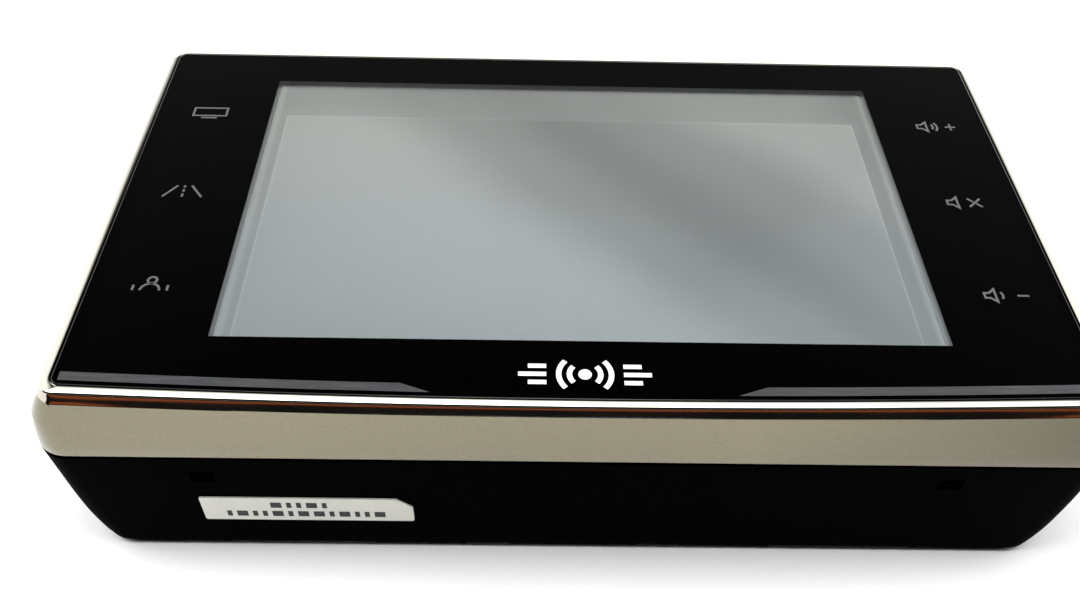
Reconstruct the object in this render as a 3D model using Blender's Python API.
"""Dash-top radar detector lying on its back: screen up (+Z), unit's top edge at +Y.

All dimensions are in millimetres and become metres in the mesh helpers. The origin is the
centre of the bounding box in plan, on the plane of the rear pads.
"""
import math

import bmesh
import bpy
from mathutils import Matrix, Vector

MM = 0.001
STACK_GAP = 0.15        # between layers that lie on each other
FIT_GAP = 0.3           # between a piece and the recess that holds it

# Cover lens and its clear window
LENS_HALF = 48.7
LENS_TOP = 27.45
LENS_BOTTOM = -27.0     # at the corners; the bottom edge bows out from here
LENS_BOW = 1.05
LENS_FACE_Z = 26.0
LENS_THICKNESS = 1.1
WINDOW_HALF = 35.5
WINDOW_LOW = -20.75
WINDOW_HIGH = 21.85
MASK_Z = (24.5, 24.75)
TAPE_Z = (24.1, 24.35)

# Chrome bezel
BEZEL_REAR_Z = 16.8
BEZEL_LEDGE_Z = 24.2
RIM_WIDTH = 0.3

# Front frame and display
FRAME_Z = (19.8, 23.95)
FRAME_HALF = 47.9
FRAME_LOW = -26.6
FRAME_HIGH = 26.8
LCD_HALF = 38.7
LCD_LOW = -22.5
LCD_HIGH = 25.2
LCD_Z = (22.8, 24.0)
BACKLIGHT_Z = (20.45, 22.65)
BACKPLATE_Z = (20.0, 20.3)
TAPE_OPENING = ((-37.0, 37.0), (-21.6, 24.9))
KEY_BOARD_X = (40.5, 46.7)
KEY_BOARD_HALF_Y = 18.2
KEY_BOARD_Z = (22.9, 23.6)
KEY_LIGHT_Y = (-13.75, 0.65, 14.85)

# Rear case
CASE_BACK_Z = 0.65
CASE_TOP_Z = 16.5
LIP_TOP_Z = 19.5
FLOOR_Z = 2.15
WALL = 1.8
CASE_LOW_AT_BACK = -26.9
CASE_LOW_AT_TOP = -28.2
CASE_HALF_AT_Z = ((0.65, 49.4), (1.1, 49.95), (4.4, 51.05), (6.2, 51.4), (9.6, 51.86), (15.0, 52.38),
                  (CASE_TOP_Z, 52.57))
CASE_RADIUS = 3.0
PAD_EMBED = 0.25
PAD_NEAR_Y = 26.5
BLOCK_DEPTH = 19.5
ISLAND_HALF = 6.9
RAIL_X = (11.4, 21.2)
FOOT_X = (36.5, 48.9)
FOOT_DEPTH = 6.0
FOOT_RADIUS = 2.6
HOOK_SLOT_Y = (-22.0, -10.0)
HOOK_SLOT_TOP = 2.0

# Fasteners
CASE_SCREWS = ((-41.5, -22.3), (41.5, -22.3), (-41.5, 22.3), (41.5, 22.3))
BOARD_SCREWS = ((-30.0, -21.0), (30.0, -21.0), (-30.0, 21.7), (24.0, 22.4))
POST_TOP = 10.6
SHELF_Z = 8.6
BOARD_POST_TOP = 12.7

# Main board
BOARD_Z = (13.0, 14.2)
BOARD_HALF_X = 47.8
BOARD_HALF_Y = 24.0
BOARD_NOTCH = (37.8, 18.6)
UNDER_BOARD = BOARD_Z[0] - STACK_GAP
OVER_BOARD = BOARD_Z[1] + STACK_GAP

# Speaker
SPEAKER_X, SPEAKER_Y = -27.0, 4.0
SLOT_HALF_LENGTHS = (6.0, 9.5, 10.8, 9.5, 6.0)
SLOT_PITCH = 4.2
SLOT_WIDTH = 1.6

# Radar, laser and positioning modules
HORN_X, HORN_Y = (-3.0, 21.0), (-2.0, 18.0)
HORN_Z = (2.6, 11.2)
LASER_X, LASER_Y = 33.0, 11.0
WINDOW_OPENING = (17.0, 13.0)
PATCH_SIZE = 10.0
PATCH_X = -8.0

# Connectors and the switch
CONNECTOR_FACE_X = 49.8
JACK_Y, JACK_Z = -12.8, 9.65
PORT_Y = (-5.2, 3.2)
CARD_Y = (-18.1, -7.1)
CARD_Z = (11.45, 12.45)
CARD_X = (-51.7, -36.7)
KNOB_Y = (5.35, 7.85)
KNOB_Z = (10.2, 12.0)
KNOB_TRAVEL = 2.5

LABEL_X = (-38.0, -16.6)
LABEL_Z = (5.7, 9.9)
LATCH_X = 36.9
LATCH_Z = (12.6, 14.4)

COLOURS = {
    "clear_glass": ((0.80, 0.82, 0.82), 0.05, 0.0),
    "black_ink": ((0.004, 0.004, 0.004), 0.35, 0.0),
    "tape": ((0.03, 0.03, 0.03), 0.8, 0.0),
    "chrome": ((0.72, 0.70, 0.66), 0.08, 1.0),
    "black_plastic": ((0.01, 0.01, 0.01), 0.45, 0.0),
    "lcd_glass": ((0.36, 0.38, 0.39), 0.3, 0.0),
    "white_plastic": ((0.85, 0.85, 0.82), 0.4, 0.0),
    "steel": ((0.55, 0.56, 0.57), 0.35, 1.0),
    "flex": ((0.55, 0.28, 0.05), 0.4, 0.0),
    "green_board": ((0.02, 0.16, 0.06), 0.4, 0.0),
    "chip": ((0.02, 0.02, 0.022), 0.5, 0.0),
    "ceramic": ((0.60, 0.52, 0.42), 0.6, 0.0),
    "foam": ((0.05, 0.05, 0.05), 0.95, 0.0),
    "paper": ((0.06, 0.055, 0.05), 0.9, 0.0),
    "ferrite": ((0.08, 0.08, 0.085), 0.6, 0.0),
    "smoked_red": ((0.05, 0.004, 0.006), 0.1, 0.0),
    "red_wire": ((0.5, 0.02, 0.02), 0.5, 0.0),
    "black_wire": ((0.02, 0.02, 0.02), 0.5, 0.0),
    "label_foil": ((0.38, 0.38, 0.33), 0.4, 0.3),
}


def clear_scene():
    for old in list(bpy.data.objects):
        bpy.data.objects.remove(old, do_unlink=True)


def material(slot):
    """One Principled material per finish, made on first use."""
    found = bpy.data.materials.get(slot)
    if found:
        return found
    colour, roughness, metallic = COLOURS[slot]
    made = bpy.data.materials.new(slot)
    made.use_nodes = True
    shader = made.node_tree.nodes["Principled BSDF"]
    shader.inputs["Base Color"].default_value = (*colour, 1.0)
    shader.inputs["Roughness"].default_value = roughness
    shader.inputs["Metallic"].default_value = metallic
    return made


def new_object(name, mesh_data, slot, smooth_angle=None):
    obj = bpy.data.objects.new(name, mesh_data)
    bpy.context.scene.collection.objects.link(obj)
    if slot:
        mesh_data.materials.append(material(slot))
    if smooth_angle:
        mesh_data.shade_smooth()
        mesh_data.set_sharp_from_angle(angle=math.radians(smooth_angle))
    return obj


def mesh_object(name, bm, slot, smooth_angle=None):
    """Turn a bmesh in millimetres into an object in metres, with its faces pointing out."""
    bmesh.ops.recalc_face_normals(bm, faces=bm.faces)
    bmesh.ops.scale(bm, vec=(MM, MM, MM), verts=bm.verts)
    mesh_data = bpy.data.meshes.new(name)
    bm.to_mesh(mesh_data)
    bm.free()
    return new_object(name, mesh_data, slot, smooth_angle)


def outline(half_x, low_y, high_y, radius, bow=0.0, corner_steps=4, edge_steps=16):
    """Rounded rectangle in plan, counter-clockwise; its low edge bows out by `bow`."""
    corners = ((half_x, low_y, -90), (half_x, high_y, 0), (-half_x, high_y, 90), (-half_x, low_y, 180))
    points = []
    for corner_x, corner_y, start in corners:
        centre_x = corner_x - math.copysign(radius, corner_x)
        centre_y = corner_y + (radius if corner_y == low_y else -radius)
        for step in range(corner_steps + 1):
            angle = math.radians(start + 90.0 * step / corner_steps)
            points.append((centre_x + radius * math.cos(angle), centre_y + radius * math.sin(angle)))
    reach = half_x - radius
    for step in range(1, edge_steps):
        points.append((-reach + 2 * reach * step / edge_steps, low_y))
    bowed = []
    for x, y in points:
        share = max(0.0, 1.0 - (x / half_x) ** 2) if y < low_y + radius + 0.001 else 0.0
        bowed.append((x, y - bow * share))
    return bowed


def rectangle(x_range, y_range):
    return [(x_range[0], y_range[0]), (x_range[1], y_range[0]), (x_range[1], y_range[1]),
            (x_range[0], y_range[1])]


def loft(name, sections, slot, closed=False, smooth_angle=None):
    """Skin plan outlines, each given as (points, z); `closed` joins the last to the first."""
    bm = bmesh.new()
    rings = [[bm.verts.new((x, y, z)) for x, y in points] for points, z in sections]
    pairs = list(zip(rings, rings[1:]))
    if closed:
        pairs.append((rings[-1], rings[0]))
    else:
        bm.faces.new(rings[0])
        bm.faces.new(rings[-1])
    for lower, upper in pairs:
        for index in range(len(lower)):
            following = (index + 1) % len(lower)
            bm.faces.new((lower[index], lower[following], upper[following], upper[index]))
    return mesh_object(name, bm, slot, smooth_angle)


def slab(name, points, z_range, slot):
    return loft(name, [(points, z_range[0]), (points, z_range[1])], slot)


def add_box(bm, x_range, y_range, z_range):
    size = Vector((x_range[1] - x_range[0], y_range[1] - y_range[0], z_range[1] - z_range[0]))
    centre = Vector((x_range[0], y_range[0], z_range[0])) + size / 2
    place = Matrix.Translation(centre) @ Matrix.Diagonal((*size, 1.0))
    bmesh.ops.create_cube(bm, size=1.0, matrix=place)


def box(name, x_range, y_range, z_range, slot):
    return boxes(name, [(x_range, y_range, z_range)], slot)


def boxes(name, ranges, slot=None):
    bm = bmesh.new()
    for x_range, y_range, z_range in ranges:
        add_box(bm, x_range, y_range, z_range)
    return mesh_object(name, bm, slot)


def turned(name, profiles, slot, places=((0.0, 0.0, 0.0),), steps=24, axis="Z", ring=False):
    """Turn (radius, height) profiles about an axis through each place.

    A profile that starts and ends on the axis makes a plain solid; a ring profile is a closed loop.
    """
    bm = bmesh.new()
    turn = {"Z": Matrix(), "X": Matrix.Rotation(math.radians(90), 4, "Y")}[axis]
    for place in places:
        for profile in profiles:
            before = set(bm.verts)
            add_turned(bm, profile, steps, ring)
            fresh = [vert for vert in bm.verts if vert not in before]
            bmesh.ops.transform(bm, matrix=Matrix.Translation(place) @ turn, verts=fresh)
    return mesh_object(name, bm, slot, smooth_angle=35)


def add_turned(bm, profile, steps, ring):
    columns = []
    for radius, height in profile:
        if radius < 0.0001:
            columns.append([bm.verts.new((0.0, 0.0, height))] * steps)
            continue
        angles = [2 * math.pi * step / steps for step in range(steps)]
        columns.append([bm.verts.new((radius * math.cos(a), radius * math.sin(a), height)) for a in angles])
    pairs = list(zip(columns, columns[1:]))
    if ring:
        pairs.append((columns[-1], columns[0]))
    for first, second in pairs:
        for index in range(steps):
            following = (index + 1) % steps
            corners = [first[index], first[following], second[following], second[index]]
            bm.faces.new(list(dict.fromkeys(corners)))


def cylinder_profile(radius, low, high):
    return [(0.0, low), (radius, low), (radius, high), (0.0, high)]


def combine(target, tool, operation):
    """Boolean the tool into the target; the tool stays as a hidden guide."""
    tool.hide_render = True
    tool.display_type = "WIRE"
    step = target.modifiers.new(tool.name, "BOOLEAN")
    step.operation = operation
    step.object = tool
    step.solver = "EXACT"
    return target


def cut(target, tool):
    return combine(target, tool, "DIFFERENCE")


def unite(target, tool):
    return combine(target, tool, "UNION")


def set_origin(obj, point_mm):
    """Move the object's origin to a point on its joint's axis without moving its mesh."""
    place = Vector(point_mm) * MM
    obj.data.transform(Matrix.Translation(-place))
    obj.location = place
    return obj


def case_low_y(z):
    """Outer face of the case's near wall, which leans in towards the back."""
    share = (z - CASE_BACK_Z) / (CASE_TOP_Z - CASE_BACK_Z)
    return CASE_LOW_AT_BACK + share * (CASE_LOW_AT_TOP - CASE_LOW_AT_BACK)


def case_half_x(z):
    for (low_z, low_half), (high_z, high_half) in zip(CASE_HALF_AT_Z, CASE_HALF_AT_Z[1:]):
        if z <= high_z:
            return low_half + (z - low_z) / (high_z - low_z) * (high_half - low_half)
    return CASE_HALF_AT_Z[-1][1]


# ---------------------------------------------------------------- front pieces

def lens_outline(inset, radius):
    return outline(LENS_HALF - inset, LENS_BOTTOM + inset, LENS_TOP - inset, radius, LENS_BOW)


def window_cut(name, grow, z_range):
    return boxes(name, [((-WINDOW_HALF - grow, WINDOW_HALF + grow),
                         (WINDOW_LOW - grow, WINDOW_HIGH + grow), z_range)])


def make_cover_lens():
    slab("cover_lens", lens_outline(0.0, 1.0), (LENS_FACE_Z - LENS_THICKNESS, LENS_FACE_Z), "clear_glass")


def make_mask_film():
    film = slab("mask_film", lens_outline(0.3, 0.8), MASK_Z, "black_ink")
    cut(film, window_cut("mask_window_cutter", 0.0, (24.0, 25.2)))


def make_lens_tape():
    points = outline(FRAME_HALF - 0.3, FRAME_LOW + 0.1, FRAME_HIGH - 0.1, 1.0, edge_steps=2)
    tape = slab("lens_tape", points, TAPE_Z, "tape")
    cut(tape, boxes("tape_window_cutter", [(*TAPE_OPENING, (23.8, 24.6))]))


def make_chrome_bezel():
    rim = outline(LENS_HALF + 0.2, LENS_BOTTOM - 0.2, LENS_TOP + 0.2, 1.2, LENS_BOW)
    rim_outer = outline(LENS_HALF + 0.2 + RIM_WIDTH, LENS_BOTTOM - 0.2 - RIM_WIDTH,
                        LENS_TOP + 0.2 + RIM_WIDTH, 1.5, LENS_BOW)
    sections = [
        (outline(48.3, -27.0, 27.1, 1.6), 21.6),
        (outline(50.6, -27.0, 27.1, 2.2), 19.8),
        (outline(50.6, -27.0, 27.1, 2.2), BEZEL_REAR_Z),
        (outline(52.5, -28.05, 28.05, 3.2), BEZEL_REAR_Z),
        (outline(52.65, -28.2, 28.2, 3.35), BEZEL_REAR_Z + 0.25),
        (outline(52.1, -28.25, 28.48, 2.75, 0.27), 20.0),
        (outline(51.6, -28.2, 28.66, 2.3, 0.5), 22.0),
        (outline(50.8, -28.16, 28.8, 2.0, 0.66), 23.5),
        (outline(50.2, -28.1, 28.9, 1.85, 0.8), 24.5),
        (outline(49.7, -27.85, 28.55, 1.7, 0.93), 25.4),
        (rim_outer, LENS_FACE_Z),
        (rim, LENS_FACE_Z),
        (rim, BEZEL_LEDGE_Z),
        (outline(48.3, -27.0, 27.1, 1.2, 0.2), BEZEL_LEDGE_Z),
    ]
    loft("chrome_bezel", sections, "chrome", closed=True, smooth_angle=30)


def make_front_frame():
    points = outline(FRAME_HALF, FRAME_LOW, FRAME_HIGH, 1.0, edge_steps=2)
    frame = slab("front_frame", points, FRAME_Z, "black_plastic")
    cut(frame, boxes("lcd_opening_cutter", [((-LCD_HALF - FIT_GAP, LCD_HALF + FIT_GAP),
                                             (LCD_LOW - FIT_GAP, LCD_HIGH + FIT_GAP), (18.0, 25.0))]))
    pockets = []
    for side in (-1, 1):
        inner, outer = KEY_BOARD_X[0] - FIT_GAP, KEY_BOARD_X[1] + FIT_GAP
        x_range = (inner, outer) if side > 0 else (-outer, -inner)
        pockets.append((x_range, (-KEY_BOARD_HALF_Y - FIT_GAP, KEY_BOARD_HALF_Y + FIT_GAP), (22.6, 25.0)))
    cut(frame, boxes("key_pocket_cutter", pockets))
    places = [(x, y, 0.0) for x, y in CASE_SCREWS]
    bosses = turned("frame_boss_guide", [cylinder_profile(2.5, POST_TOP + FIT_GAP, 20.4)], None, places, 20)
    unite(frame, bosses)
    cut(frame, turned("frame_pilot_cutter", [cylinder_profile(1.3, 10.0, 19.0)], None, places, 16))


def make_display():
    slab("lcd_panel", rectangle((-LCD_HALF, LCD_HALF), (LCD_LOW, LCD_HIGH)), LCD_Z, "lcd_glass")
    light = (-LCD_HALF + 0.2, LCD_HALF - 0.2)
    slab("lcd_backlight", rectangle(light, (LCD_LOW + 0.2, LCD_HIGH - 1.6)), BACKLIGHT_Z, "white_plastic")
    slab("lcd_back_plate", rectangle(light, (LCD_LOW + 0.2, LCD_HIGH - 1.6)), BACKPLATE_Z, "steel")


def strip(name, path, half_width, thickness, slot):
    """A flat ribbon of constant width along X that follows a path of (y, z) points."""
    upper, lower = [], []
    for index, (y, z) in enumerate(path):
        before = path[max(index - 1, 0)]
        after = path[min(index + 1, len(path) - 1)]
        along = Vector((after[0] - before[0], after[1] - before[1])).normalized()
        side = Vector((-along.y, along.x)) * thickness / 2
        upper.append((y + side.x, z + side.y))
        lower.append((y - side.x, z - side.y))
    loop = upper + lower[::-1]
    bm = bmesh.new()
    left = [bm.verts.new((-half_width, y, z)) for y, z in loop]
    right = [bm.verts.new((half_width, y, z)) for y, z in loop]
    for index in range(len(loop)):
        following = (index + 1) % len(loop)
        bm.faces.new((left[index], left[following], right[following], right[index]))
    for ends in (left, right):
        last = len(ends) - 1
        for index in range(len(path) - 1):
            bm.faces.new((ends[index], ends[index + 1], ends[last - index - 1], ends[last - index]))
    return mesh_object(name, bm, slot)


def make_lcd_flex():
    """The display's ribbon: down past the backlight, round a half turn and into its connector."""
    bend_y, bend_z, bend_radius = 23.1, 17.9, 1.3
    path = [(bend_y + bend_radius, LCD_Z[0] - STACK_GAP - 0.1)]
    for step in range(7):
        angle = math.radians(-90.0 * step / 6)
        path.append((bend_y + bend_radius * math.cos(angle), bend_z + bend_radius * math.sin(angle)))
    path += [(20.4, 16.4), (18.6, 15.6), (17.1, 15.3)]
    strip("lcd_flex", path, 10.0, 0.2, "flex")


def make_key_boards():
    for side, word in ((-1, "left"), (1, "right")):
        x_range = KEY_BOARD_X if side > 0 else (-KEY_BOARD_X[1], -KEY_BOARD_X[0])
        board = box("touch_key_board_" + word, x_range, (-KEY_BOARD_HALF_Y, KEY_BOARD_HALF_Y),
                    KEY_BOARD_Z, "green_board")
        middle = sum(x_range) / 2
        lights = [((middle - 0.8, middle + 0.8), (y - 0.4, y + 0.4), (KEY_BOARD_Z[1] - 0.2, 23.95))
                  for y in KEY_LIGHT_Y]
        unite(board, boxes("key_light_guide_" + word, lights))


# ---------------------------------------------------------------- rear case

def case_outline(z, inset, radius):
    return outline(case_half_x(z) - inset, case_low_y(z) + inset, -case_low_y(z) - inset, radius)


def make_rear_case():
    rounding = 0.4
    back = outline(CASE_HALF_AT_Z[0][1], CASE_LOW_AT_BACK + rounding, -CASE_LOW_AT_BACK - rounding,
                   CASE_RADIUS - 0.3)
    outside = [(back, CASE_BACK_Z)]
    for z in (1.1, 4.4, 6.2, 9.6, 15.0, CASE_TOP_Z):
        outside.append((case_outline(z, 0.0, CASE_RADIUS + 0.3 * z / CASE_TOP_Z), z))
    lip_outer = outline(50.3, -26.3, 26.5, 2.0)
    lip_inner = outline(49.1, -25.1, 25.3, 1.4)
    inside = [(case_outline(z, WALL, 1.5), z) for z in (14.4, 9.6, 6.2, 4.4, FLOOR_Z)]
    sections = outside + [(lip_outer, CASE_TOP_Z), (lip_outer, LIP_TOP_Z), (lip_inner, LIP_TOP_Z),
                          (lip_inner, 15.4)] + inside
    case = loft("rear_case", sections, "black_plastic", smooth_angle=30)
    unite(case, make_case_pads())
    unite(case, make_case_posts())
    unite(case, boxes("hook_wall_guide", [((x - 3.6, x + 3.6), (-23.5, -8.5), (1.2, 3.7))
                                          for x in (-9.15, 9.15)]))
    cut(case, make_screw_cutters())
    cut(case, make_back_cutters())
    cut(case, make_side_cutters())
    return case


def make_case_pads():
    """Raised pads on the back: three on the bracket block and a rounded foot at each corner."""
    low, high = 0.0, CASE_BACK_Z + PAD_EMBED
    block_y = (-PAD_NEAR_Y, -PAD_NEAR_Y + BLOCK_DEPTH)
    shapes = [rectangle(x_range, block_y) for x_range in
              ((-ISLAND_HALF, ISLAND_HALF), RAIL_X, (-RAIL_X[1], -RAIL_X[0]))]
    shapes += [foot_outline(side_x, side_y) for side_x in (-1, 1) for side_y in (-1, 1)]
    bm = bmesh.new()
    for points in shapes:
        lower, upper = [[bm.verts.new((x, y, z)) for x, y in points] for z in (low, high)]
        bm.faces.new(lower)
        bm.faces.new(upper)
        for index in range(len(points)):
            following = (index + 1) % len(points)
            bm.faces.new((lower[index], lower[following], upper[following], upper[index]))
    return mesh_object("case_pad_guide", bm, None)


def foot_outline(side_x, side_y):
    """A corner foot whose outer corner follows the case's own rounded corner."""
    near, far = PAD_NEAR_Y, PAD_NEAR_Y - FOOT_DEPTH
    points = [(FOOT_X[0], far), (FOOT_X[0], near)]
    for step in range(5):
        angle = math.radians(90.0 - 90.0 * step / 4)
        points.append((FOOT_X[1] - FOOT_RADIUS + FOOT_RADIUS * math.cos(angle),
                       near - FOOT_RADIUS + FOOT_RADIUS * math.sin(angle)))
    points.append((FOOT_X[1], far))
    return [(side_x * x, side_y * y) for x, y in points]


def make_case_posts():
    bm = bmesh.new()
    for places, radius, top in ((CASE_SCREWS, 3.2, POST_TOP), (BOARD_SCREWS, 2.5, BOARD_POST_TOP)):
        for x, y in places:
            before = set(bm.verts)
            add_turned(bm, cylinder_profile(radius, 1.4, top), 20, False)
            fresh = [vert for vert in bm.verts if vert not in before]
            bmesh.ops.translate(bm, vec=(x, y, 0.0), verts=fresh)
    return mesh_object("case_post_guide", bm, None)


def make_screw_cutters():
    """Counterbored holes for the case screws and blind pilots for the board screws."""
    stepped = [(0.0, -1.0), (2.3, -1.0), (2.3, SHELF_Z), (1.3, SHELF_Z), (1.3, 12.0), (0.0, 12.0)]
    pilot = cylinder_profile(1.3, 6.0, 14.0)
    bm = bmesh.new()
    for places, profile in ((CASE_SCREWS, stepped), (BOARD_SCREWS, pilot)):
        for x, y in places:
            before = set(bm.verts)
            add_turned(bm, profile, 16, False)
            fresh = [vert for vert in bm.verts if vert not in before]
            bmesh.ops.translate(bm, vec=(x, y, 0.0), verts=fresh)
    return mesh_object("screw_hole_cutter", bm, None)


def make_back_cutters():
    """Speaker slots, the laser window's opening and the bracket's two hook slots."""
    ranges = []
    middle = (len(SLOT_HALF_LENGTHS) - 1) / 2
    for index, half_length in enumerate(SLOT_HALF_LENGTHS):
        y = SPEAKER_Y + (index - middle) * SLOT_PITCH
        ranges.append(((SPEAKER_X - half_length, SPEAKER_X + half_length),
                       (y - SLOT_WIDTH / 2, y + SLOT_WIDTH / 2), (-1.0, 3.0)))
    half_x, half_y = WINDOW_OPENING[0] / 2, WINDOW_OPENING[1] / 2
    ranges.append(((LASER_X - half_x, LASER_X + half_x), (LASER_Y - half_y, LASER_Y + half_y), (-1.0, 3.0)))
    for low, high in ((ISLAND_HALF, RAIL_X[0]), (-RAIL_X[0], -ISLAND_HALF)):
        ranges.append(((low, high), HOOK_SLOT_Y, (-1.0, HOOK_SLOT_TOP)))
    return boxes("case_back_cutter", ranges)


def make_side_cutters():
    """Openings in the side walls, and the latch windows in the long walls."""
    ranges = [
        ((47.8, 54.0), (PORT_Y[0] - 0.4, PORT_Y[1] + 0.4), (7.5, 12.7)),
        ((47.8, 54.0), (JACK_Y - 3.4, JACK_Y + 3.4), (JACK_Z - 3.2, JACK_Z + 3.2)),
        ((-54.0, -47.8), (CARD_Y[0] - 0.7, CARD_Y[1] + 0.7), (CARD_Z[0] - 0.5, CARD_Z[1] + 0.5)),
        ((-54.0, -47.8), (KNOB_Y[0] - 0.5, KNOB_Y[1] + KNOB_TRAVEL + 0.5),
         (KNOB_Z[0] - 0.35, KNOB_Z[1] + 0.35)),
    ]
    for x in (-LATCH_X, LATCH_X):
        for y_range in ((-29.0, -26.8), (26.8, 29.0)):
            ranges.append(((x - 1.25, x + 1.25), y_range, LATCH_Z))
    return boxes("case_side_cutter", ranges)


def make_laser_window():
    half_x, half_y = WINDOW_OPENING[0] / 2, WINDOW_OPENING[1] / 2
    inner_x = (LASER_X - half_x + FIT_GAP, LASER_X + half_x - FIT_GAP)
    inner_y = (LASER_Y - half_y + FIT_GAP, LASER_Y + half_y - FIT_GAP)
    flange_x = (LASER_X - half_x - 1.0, LASER_X + half_x + 1.0)
    flange_y = (LASER_Y - half_y - 1.0, LASER_Y + half_y + 1.0)
    flange_low = FLOOR_Z + STACK_GAP
    plug, flange = rectangle(inner_x, inner_y), rectangle(flange_x, flange_y)
    sections = [(plug, CASE_BACK_Z + 0.1), (plug, flange_low), (flange, flange_low), (flange, flange_low + 0.8)]
    loft("laser_window", sections, "smoked_red")


def make_serial_label():
    """A foil label with one clipped corner, lying on the leaning near wall."""
    clip_x, clip_z = 1.6, 1.5
    shape = [(LABEL_X[0], LABEL_Z[0]), (LABEL_X[1], LABEL_Z[0]), (LABEL_X[1], LABEL_Z[1] - clip_z),
             (LABEL_X[1] - clip_x, LABEL_Z[1]), (LABEL_X[0], LABEL_Z[1])]
    bm = bmesh.new()
    near = [bm.verts.new((x, case_low_y(z) - 0.22, z)) for x, z in shape]
    far = [bm.verts.new((x, case_low_y(z) - 0.10, z)) for x, z in shape]
    bm.faces.new(near)
    bm.faces.new(far)
    for index in range(len(shape)):
        following = (index + 1) % len(shape)
        bm.faces.new((near[index], near[following], far[following], far[index]))
    mesh_object("serial_label", bm, "label_foil")


def make_screws():
    head_low = SHELF_Z - FIT_GAP - 1.3
    case_screw = [(0.0, head_low), (1.5, head_low), (1.9, head_low + 0.4), (1.9, SHELF_Z - FIT_GAP),
                  (1.0, SHELF_Z - FIT_GAP), (1.0, 17.6), (0.0, 18.2)]
    for number, (x, y) in enumerate(CASE_SCREWS, 1):
        turned(f"case_screw_{number}", [case_screw], "steel", [(x, y, 0.0)], 16)
    board_screw = [(0.0, 7.0), (1.0, 7.6), (1.0, OVER_BOARD), (2.0, OVER_BOARD), (2.0, OVER_BOARD + 0.9),
                   (1.4, OVER_BOARD + 1.3), (0.0, OVER_BOARD + 1.3)]
    for number, (x, y) in enumerate(BOARD_SCREWS, 1):
        turned(f"board_screw_{number}", [board_screw], "steel", [(x, y, 0.0)], 16)


# ---------------------------------------------------------------- electronics

def make_main_board():
    notch_x, notch_y = BOARD_NOTCH
    quarter = [(BOARD_HALF_X, notch_y), (notch_x, notch_y), (notch_x, BOARD_HALF_Y)]
    points = quarter + [(-x, y) for x, y in quarter[::-1]]
    points += [(-x, -y) for x, y in quarter] + [(x, -y) for x, y in quarter[::-1]]
    board = slab("main_board", points, BOARD_Z, "green_board")
    places = [(x, y, 0.0) for x, y in BOARD_SCREWS]
    cut(board, turned("board_hole_cutter", [cylinder_profile(1.3, 12.0, 15.0)], None, places, 16))


def make_board_parts():
    box("shield_can", (-14.0, 8.0), (-8.0, 10.0), (OVER_BOARD, 16.9), "steel")
    box("processor", (12.0, 24.0), (-6.0, 6.0), (OVER_BOARD, 15.6), "chip")
    box("memory_chip", (12.0, 24.0), (9.0, 17.0), (OVER_BOARD, 15.4), "chip")
    box("flex_connector", (-10.6, 10.6), (12.6, 16.8), (OVER_BOARD, 16.0), "white_plastic")
    battery = [(0.0, OVER_BOARD), (4.2, OVER_BOARD), (4.8, 14.9), (4.8, 16.2), (4.5, 16.5), (0.0, 16.5)]
    turned("backup_battery", [battery], "steel", [(-28.0, 8.0, 0.0)], 24)


def make_speaker():
    place = [(SPEAKER_X, SPEAKER_Y, 0.0)]
    gasket = [(14.0, 2.4), (14.0, 3.2), (12.5, 3.2), (12.5, 2.4)]
    turned("speaker_gasket", [gasket], "foam", place, 32, ring=True)
    basket = [(14.0, 3.5), (14.0, 4.5), (12.6, 4.9), (9.2, 8.8), (4.3, 8.8), (4.3, 8.0), (8.8, 8.0),
              (12.0, 4.3), (12.6, 3.5)]
    turned("speaker_basket", [basket], "steel", place, 32, ring=True)
    cone = [(0.0, 5.2), (2.4, 5.5), (4.0, 6.2), (11.3, 3.2), (12.1, 3.0), (12.1, 3.4), (11.5, 3.65),
            (4.4, 6.7), (3.9, 6.9), (3.9, 8.3), (3.5, 8.3), (3.5, 6.7), (2.2, 6.0), (0.0, 5.7)]
    turned("speaker_cone", [cone], "paper", place, 32)
    magnet = [(0.0, 9.1), (7.6, 9.1), (8.0, 9.5), (8.0, 12.0), (7.6, 12.4), (0.0, 12.4)]
    turned("speaker_magnet", [magnet], "ferrite", place, 32)


def make_leads():
    """The speaker's two wires, held between its basket and the underside of the board."""
    for name, slot, shift in (("speaker_lead_red", "red_wire", 0.0), ("speaker_lead_black", "black_wire", 1.6)):
        route = [(-26.0 + shift, -8.2, 7.0), (-25.8 + shift, -10.2, 7.6), (-24.6 + shift, -13.4, 8.4),
                 (-23.2 + shift, -15.8, 9.8), (-22.6 + shift, -16.6, 11.4), (-22.6 + shift, -16.6, 12.5)]
        curve = bpy.data.curves.new(name, "CURVE")
        curve.dimensions = "3D"
        curve.bevel_depth = 0.4 * MM
        curve.bevel_resolution = 2
        curve.use_fill_caps = True
        spline = curve.splines.new("POLY")
        spline.points.add(len(route) - 1)
        for point, (x, y, z) in zip(spline.points, route):
            point.co = (x * MM, y * MM, z * MM, 1.0)
        obj = bpy.data.objects.new(name, curve)
        bpy.context.scene.collection.objects.link(obj)
        curve.materials.append(material(slot))


def make_radar_module():
    mouth = rectangle((HORN_X[0] + 1.2, HORN_X[1] - 1.2), (HORN_Y[0] + 1.2, HORN_Y[1] - 1.2))
    throat = rectangle((5.0, 13.0), (5.0, 11.0))
    outside = rectangle(HORN_X, HORN_Y)
    sections = [(throat, HORN_Z[1] - 1.0), (mouth, HORN_Z[0]), (outside, HORN_Z[0]), (outside, HORN_Z[1])]
    loft("radar_horn", sections, "steel")
    box("radar_board", (HORN_X[0] - 1.0, HORN_X[1] + 1.0), (HORN_Y[0] - 1.0, HORN_Y[1] + 1.0),
        (HORN_Z[1] + 0.3, HORN_Z[1] + 1.2), "green_board")


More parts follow.
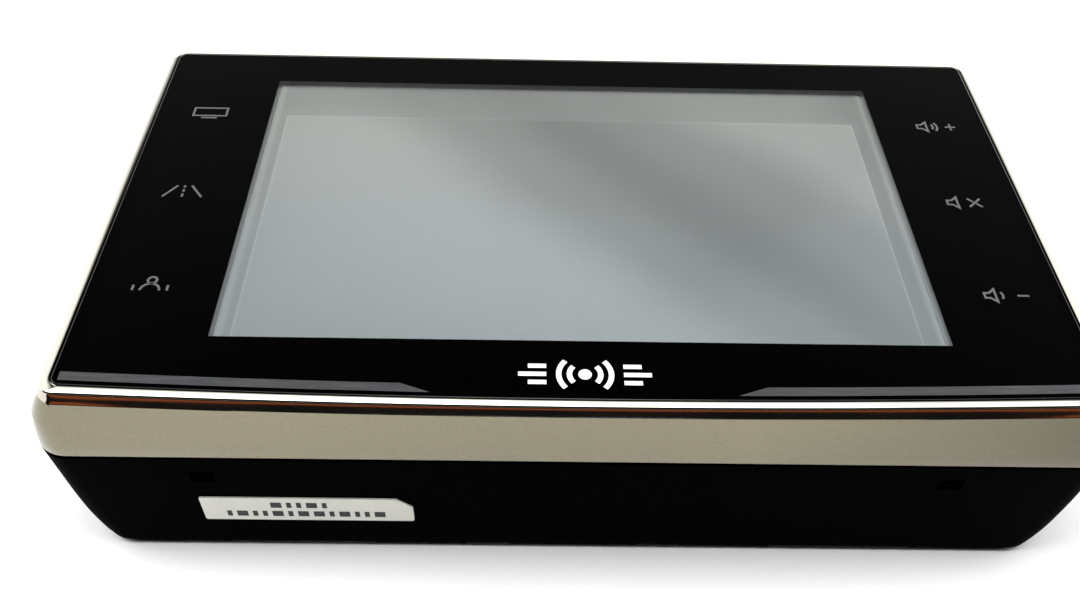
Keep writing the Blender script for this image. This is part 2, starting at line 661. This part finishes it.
def make_laser_module():
    place = [(LASER_X, LASER_Y, 0.0)]
    holder = [(6.4, 3.5), (6.4, 10.3), (5.6, 10.3), (5.6, 3.5)]
    turned("laser_holder", [holder], "black_plastic", place, 28, ring=True)
    lens = [(0.0, 3.9), (2.0, 4.1), (3.8, 4.7), (5.3, 5.7), (5.3, 6.6), (0.0, 6.6)]
    turned("laser_lens", [lens], "smoked_red", place, 28)
    box("laser_photodiode", (LASER_X - 2.5, LASER_X + 2.5), (LASER_Y - 2.2, LASER_Y + 2.2), (8.8, 10.4), "chip")
    box("laser_board", (LASER_X - 7.2, LASER_X + 7.2), (LASER_Y - 7.2, LASER_Y + 7.2), (10.6, 11.6), "green_board")


def make_positioning_module():
    half = PATCH_SIZE / 2
    z_range = (2.6, 2.6 + PATCH_SIZE)
    box("gps_board", (PATCH_X - half - 0.5, PATCH_X + half + 0.5), (19.4, 20.2), z_range, "green_board")
    patch = box("gps_patch", (PATCH_X - half, PATCH_X + half), (20.4, 24.2), z_range, "ceramic")
    silver = boxes("patch_silver_guide", [((PATCH_X - 4.0, PATCH_X + 4.0), (24.1, 24.35), (3.6, 11.6))])
    unite(patch, silver)


def make_connectors():
    face = CONNECTOR_FACE_X
    jack = box("dc_jack", (37.8, face), (JACK_Y - 3.1, JACK_Y + 3.1), (6.5, UNDER_BOARD), "black_plastic")
    bore = [(0.8, 40.3), (2.1, 40.3), (2.1, 51.0), (0.8, 51.0)]
    cut(jack, turned("jack_bore_cutter", [bore], None, [(0.0, JACK_Y, JACK_Z)], 24, "X", ring=True))
    port = box("option_port", (38.8, face), PORT_Y, (7.6, UNDER_BOARD), "white_plastic")
    inside = (PORT_Y[0] + 0.4, PORT_Y[1] - 0.4)
    cut(port, boxes("port_cavity_cutter", [((41.8, 51.0), inside, (8.4, 11.8))]))
    pins = [((40.8, 47.3), (y - 0.3, y + 0.3), (9.8, 10.4)) for y in (-3.4, -1.8, -0.2, 1.4)]
    unite(port, boxes("port_pin_guide", pins))


def make_card_reader():
    shell_y = (CARD_Y[0] - 0.8, CARD_Y[1] + 0.8)
    socket = box("card_socket", (-49.6, -34.8), shell_y, (10.9, UNDER_BOARD), "steel")
    channel_y = (CARD_Y[0] - 0.3, CARD_Y[1] + 0.3)
    channel = ((-50.8, -35.8), channel_y, (CARD_Z[0] - 0.15, CARD_Z[1] + 0.15))
    cut(socket, boxes("card_channel_cutter", [channel]))
    middle = (CARD_Y[0] + CARD_Y[1]) / 2
    outline_points = [(CARD_X[0], CARD_Y[0]), (CARD_X[1], CARD_Y[0]), (CARD_X[1], CARD_Y[1] - 1.3),
                      (CARD_X[1] - 6.0, CARD_Y[1] - 1.3), (CARD_X[1] - 7.2, CARD_Y[1]),
                      (CARD_X[0], CARD_Y[1])]
    card = slab("microsd_card", outline_points, CARD_Z, "chip")
    set_origin(card, (CARD_X[0], middle, sum(CARD_Z) / 2))


def make_power_switch():
    """A two-position slide switch; its knob runs in a channel of the body and a slot of the case."""
    body = box("power_switch_body", (-49.4, -45.0), (3.3, 12.4), (9.2, UNDER_BOARD), "black_plastic")
    channel = ((-50.8, -47.2), (KNOB_Y[0] - 0.4, KNOB_Y[1] + KNOB_TRAVEL + 0.4),
               (KNOB_Z[0] - 0.25, KNOB_Z[1] + 0.25))
    cut(body, boxes("switch_channel_cutter", [channel]))
    knob = boxes("power_switch_knob", [((-52.3, -47.6), KNOB_Y, KNOB_Z)], "black_plastic")
    bevel = knob.modifiers.new("edges", "BEVEL")
    bevel.width = 0.2 * MM
    bevel.segments = 2
    set_origin(knob, (-52.3, sum(KNOB_Y) / 2, sum(KNOB_Z) / 2))


def main():
    clear_scene()
    make_cover_lens()
    make_mask_film()
    make_lens_tape()
    make_chrome_bezel()
    make_front_frame()
    make_display()
    make_lcd_flex()
    make_key_boards()
    make_rear_case()
    make_laser_window()
    make_serial_label()
    make_screws()
    make_main_board()
    make_board_parts()
    make_speaker()
    make_leads()
    make_radar_module()
    make_laser_module()
    make_positioning_module()
    make_connectors()
    make_card_reader()
    make_power_switch()


main()
